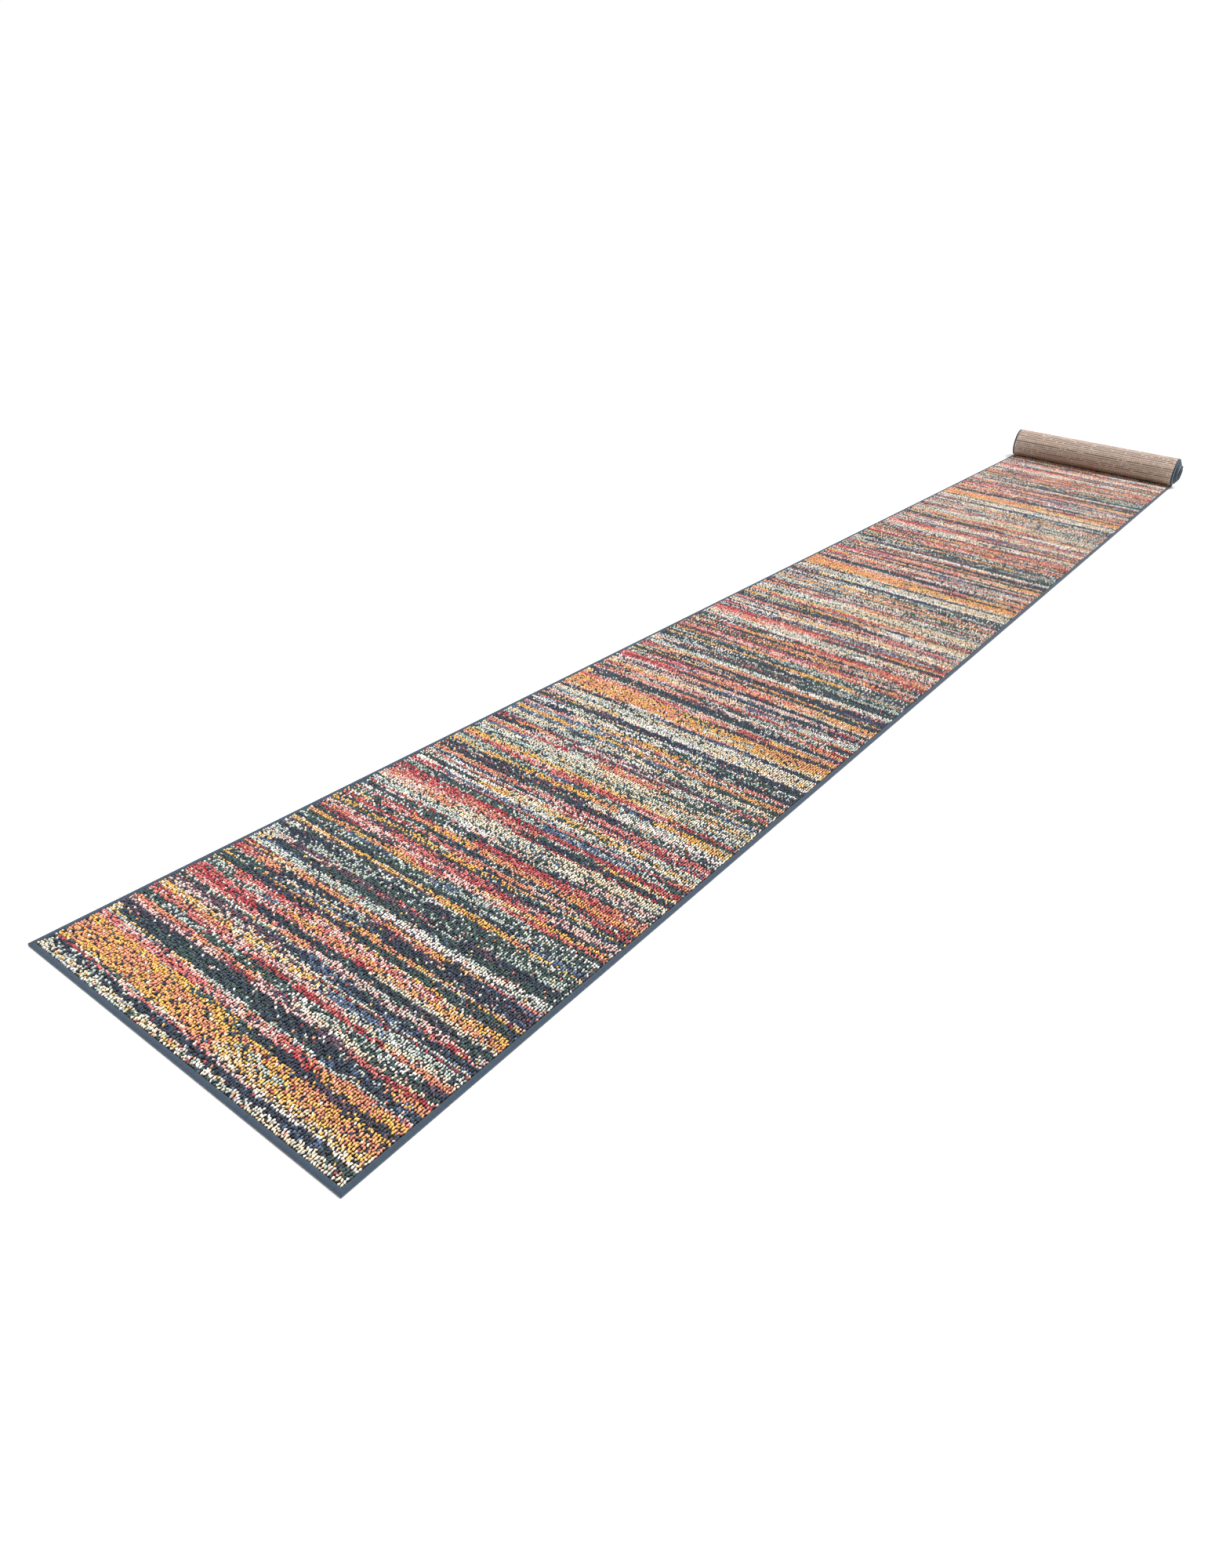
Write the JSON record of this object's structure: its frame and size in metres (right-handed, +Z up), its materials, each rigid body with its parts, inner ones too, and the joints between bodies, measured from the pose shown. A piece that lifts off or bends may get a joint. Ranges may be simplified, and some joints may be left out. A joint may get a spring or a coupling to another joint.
{
  "type": "runner rug",
  "caption": "Long narrow cut-pile rug with a bound edge, laid flat with its far end rolled up on itself and able to unroll by one turn.",
  "frame": {"origin": "centre of the footprint, on the floor", "axes": "+X from the front edge along the rug towards the roll, +Y across to the rug's left edge, +Z up"},
  "size_m": [5.43, 0.8, 0.14],
  "materials": {
    "pile": "matt twisted yarn",
    "woven_back": "matt coarse weave",
    "edge_thread": "matt overlocked thread"
  },
  "bodies": {
    "laid_length": {"laid_backing": "woven_back", "laid_pile": "pile", "laid_binding_left": "edge_thread", "laid_binding_right": "edge_thread", "front_end_binding": "edge_thread"},
    "turn_strip_01": {"turn_strip_01_backing": "woven_back", "turn_strip_01_pile": "pile", "turn_strip_01_bindings": "edge_thread"},
    "turn_strip_02": {"turn_strip_02_backing": "woven_back", "turn_strip_02_pile": "pile", "turn_strip_02_bindings": "edge_thread"},
    "turn_strip_03": {"turn_strip_03_backing": "woven_back", "turn_strip_03_pile": "pile", "turn_strip_03_bindings": "edge_thread"},
    "turn_strip_04": {"turn_strip_04_backing": "woven_back", "turn_strip_04_pile": "pile", "turn_strip_04_bindings": "edge_thread"},
    "turn_strip_05": {"turn_strip_05_backing": "woven_back", "turn_strip_05_pile": "pile", "turn_strip_05_bindings": "edge_thread"},
    "turn_strip_06": {"turn_strip_06_backing": "woven_back", "turn_strip_06_pile": "pile", "turn_strip_06_bindings": "edge_thread"},
    "turn_strip_07": {"turn_strip_07_backing": "woven_back", "turn_strip_07_pile": "pile", "turn_strip_07_bindings": "edge_thread"},
    "turn_strip_08": {"turn_strip_08_backing": "woven_back", "turn_strip_08_pile": "pile", "turn_strip_08_bindings": "edge_thread"},
    "turn_strip_09": {"turn_strip_09_backing": "woven_back", "turn_strip_09_pile": "pile", "turn_strip_09_bindings": "edge_thread"},
    "turn_strip_10": {"turn_strip_10_backing": "woven_back", "turn_strip_10_pile": "pile", "turn_strip_10_bindings": "edge_thread"},
    "turn_strip_11": {"turn_strip_11_backing": "woven_back", "turn_strip_11_pile": "pile", "turn_strip_11_bindings": "edge_thread"},
    "inner_roll": {"inner_roll_backing": "woven_back", "inner_roll_pile": "pile", "inner_roll_binding_left": "edge_thread", "inner_roll_binding_right": "edge_thread", "inner_roll_end_binding": "edge_thread"}
  },
  "joints": [
    {"name": "unroll_01", "type": "hinge", "parent": "laid_length", "child": "turn_strip_01", "pos_m": [2.66376, 0, 0], "axis": [0, 1, 0], "range_deg": [0, 30]},
    {"name": "unroll_02", "type": "hinge", "parent": "turn_strip_01", "child": "turn_strip_02", "pos_m": [2.69624, 0, 0.01876], "axis": [0, 1, 0], "range_deg": [0, 30]},
    {"name": "unroll_03", "type": "hinge", "parent": "turn_strip_02", "child": "turn_strip_03", "pos_m": [2.715, 0, 0.05124], "axis": [0, 1, 0], "range_deg": [0, 30]},
    {"name": "unroll_04", "type": "hinge", "parent": "turn_strip_03", "child": "turn_strip_04", "pos_m": [2.715, 0, 0.08876], "axis": [0, 1, 0], "range_deg": [0, 30]},
    {"name": "unroll_05", "type": "hinge", "parent": "turn_strip_04", "child": "turn_strip_05", "pos_m": [2.69624, 0, 0.12124], "axis": [0, 1, 0], "range_deg": [0, 30]},
    {"name": "unroll_06", "type": "hinge", "parent": "turn_strip_05", "child": "turn_strip_06", "pos_m": [2.66376, 0, 0.14], "axis": [0, 1, 0], "range_deg": [0, 30]},
    {"name": "unroll_07", "type": "hinge", "parent": "turn_strip_06", "child": "turn_strip_07", "pos_m": [2.62758, 0, 0.14], "axis": [0, 1, 0], "range_deg": [0, 30]},
    {"name": "unroll_08", "type": "hinge", "parent": "turn_strip_07", "child": "turn_strip_08", "pos_m": [2.59742, 0, 0.12258], "axis": [0, 1, 0], "range_deg": [0, 30]},
    {"name": "unroll_09", "type": "hinge", "parent": "turn_strip_08", "child": "turn_strip_09", "pos_m": [2.58, 0, 0.09242], "axis": [0, 1, 0], "range_deg": [0, 30]},
    {"name": "unroll_10", "type": "hinge", "parent": "turn_strip_09", "child": "turn_strip_10", "pos_m": [2.58, 0, 0.05758], "axis": [0, 1, 0], "range_deg": [0, 30]},
    {"name": "unroll_11", "type": "hinge", "parent": "turn_strip_10", "child": "turn_strip_11", "pos_m": [2.59742, 0, 0.02742], "axis": [0, 1, 0], "range_deg": [0, 30]},
    {"name": "unroll_12", "type": "hinge", "parent": "turn_strip_11", "child": "inner_roll", "pos_m": [2.62758, 0, 0.01], "axis": [0, 1, 0], "range_deg": [0, 30]}
  ],
  "couplings": [
    {"joint": "unroll_02", "follows": "unroll_01", "ratio": 1},
    {"joint": "unroll_03", "follows": "unroll_01", "ratio": 1},
    {"joint": "unroll_04", "follows": "unroll_01", "ratio": 1},
    {"joint": "unroll_05", "follows": "unroll_01", "ratio": 1},
    {"joint": "unroll_06", "follows": "unroll_01", "ratio": 1},
    {"joint": "unroll_07", "follows": "unroll_01", "ratio": 1},
    {"joint": "unroll_08", "follows": "unroll_01", "ratio": 1},
    {"joint": "unroll_09", "follows": "unroll_01", "ratio": 1},
    {"joint": "unroll_10", "follows": "unroll_01", "ratio": 1},
    {"joint": "unroll_11", "follows": "unroll_01", "ratio": 1},
    {"joint": "unroll_12", "follows": "unroll_01", "ratio": 1}
  ]
}
